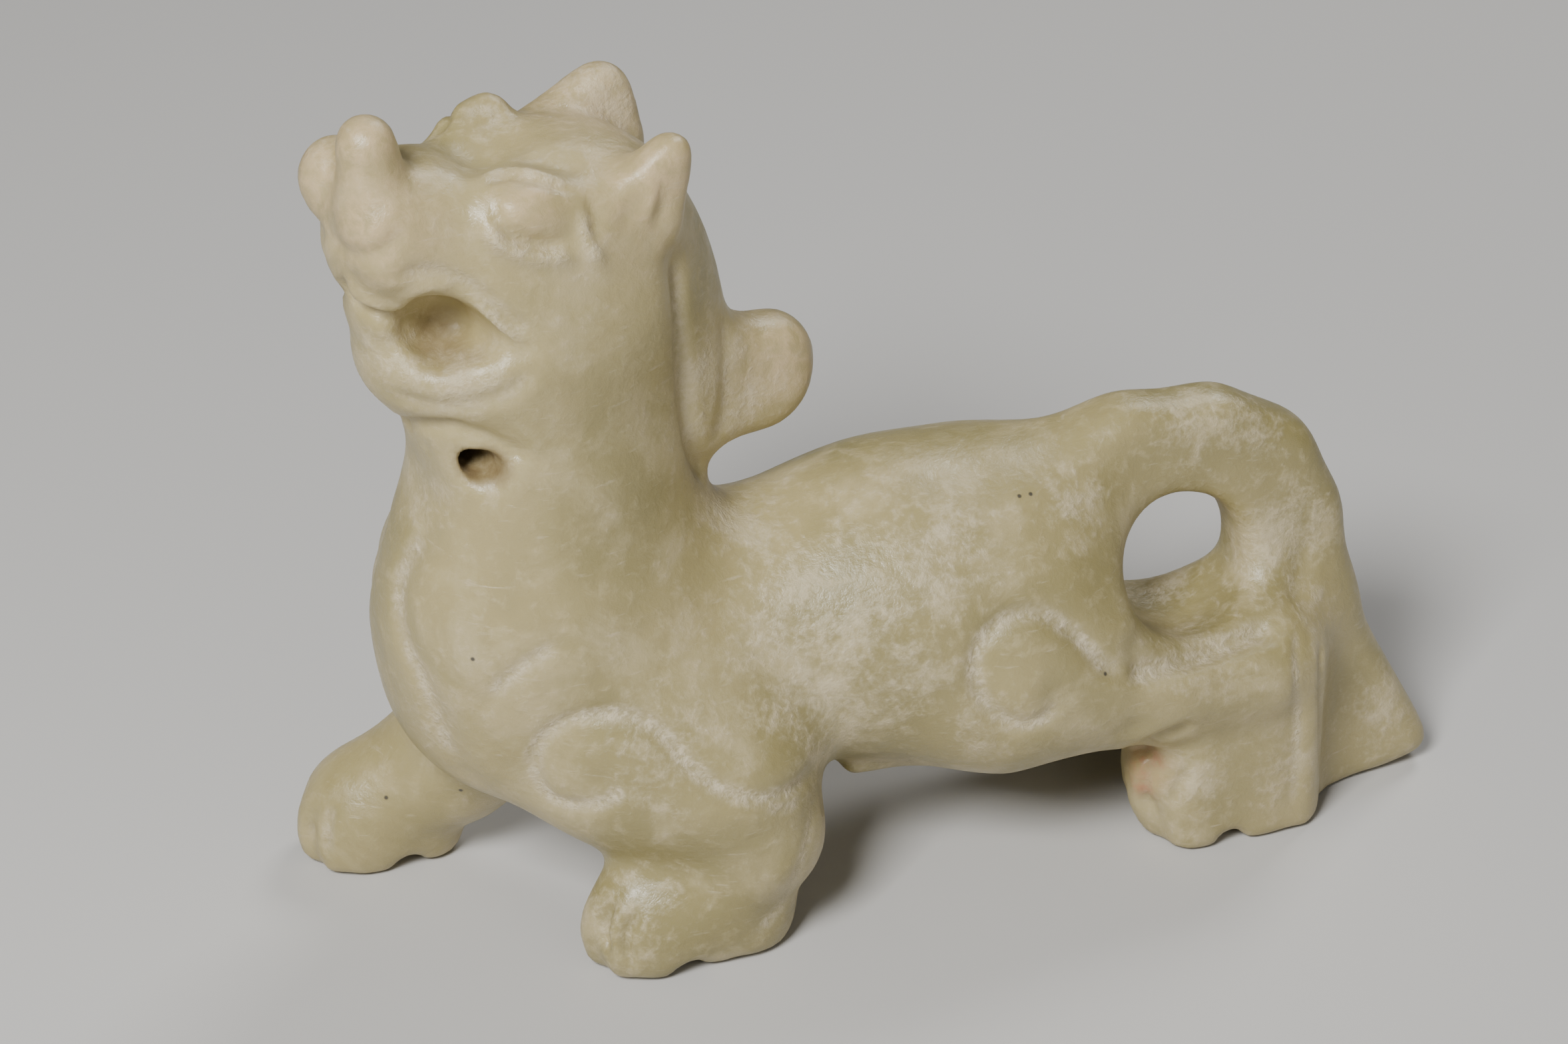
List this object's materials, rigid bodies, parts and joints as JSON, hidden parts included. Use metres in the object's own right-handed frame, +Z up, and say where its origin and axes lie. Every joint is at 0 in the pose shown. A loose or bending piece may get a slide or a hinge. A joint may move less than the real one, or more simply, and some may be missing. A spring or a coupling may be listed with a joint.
{
  "type": "stone figure",
  "caption": "Carved pale green stone figure of a striding horned beast with raised head, hollowed mouth, looped tail and scroll-carved legs, standing on its paws.",
  "frame": {"origin": "centre of the figure's bounding box, at the level of its soles", "axes": "+Z up, +X from the head to the tail, -Y towards the beast's left side, which is the side seen in the picture"},
  "size_m": [0.078, 0.0278, 0.0608],
  "materials": {
    "stone": "polished pale green stone with whitish worn patches and chalky carved lines"
  },
  "bodies": {
    "root": {"beast_figure": "stone"}
  },
  "joints": []
}
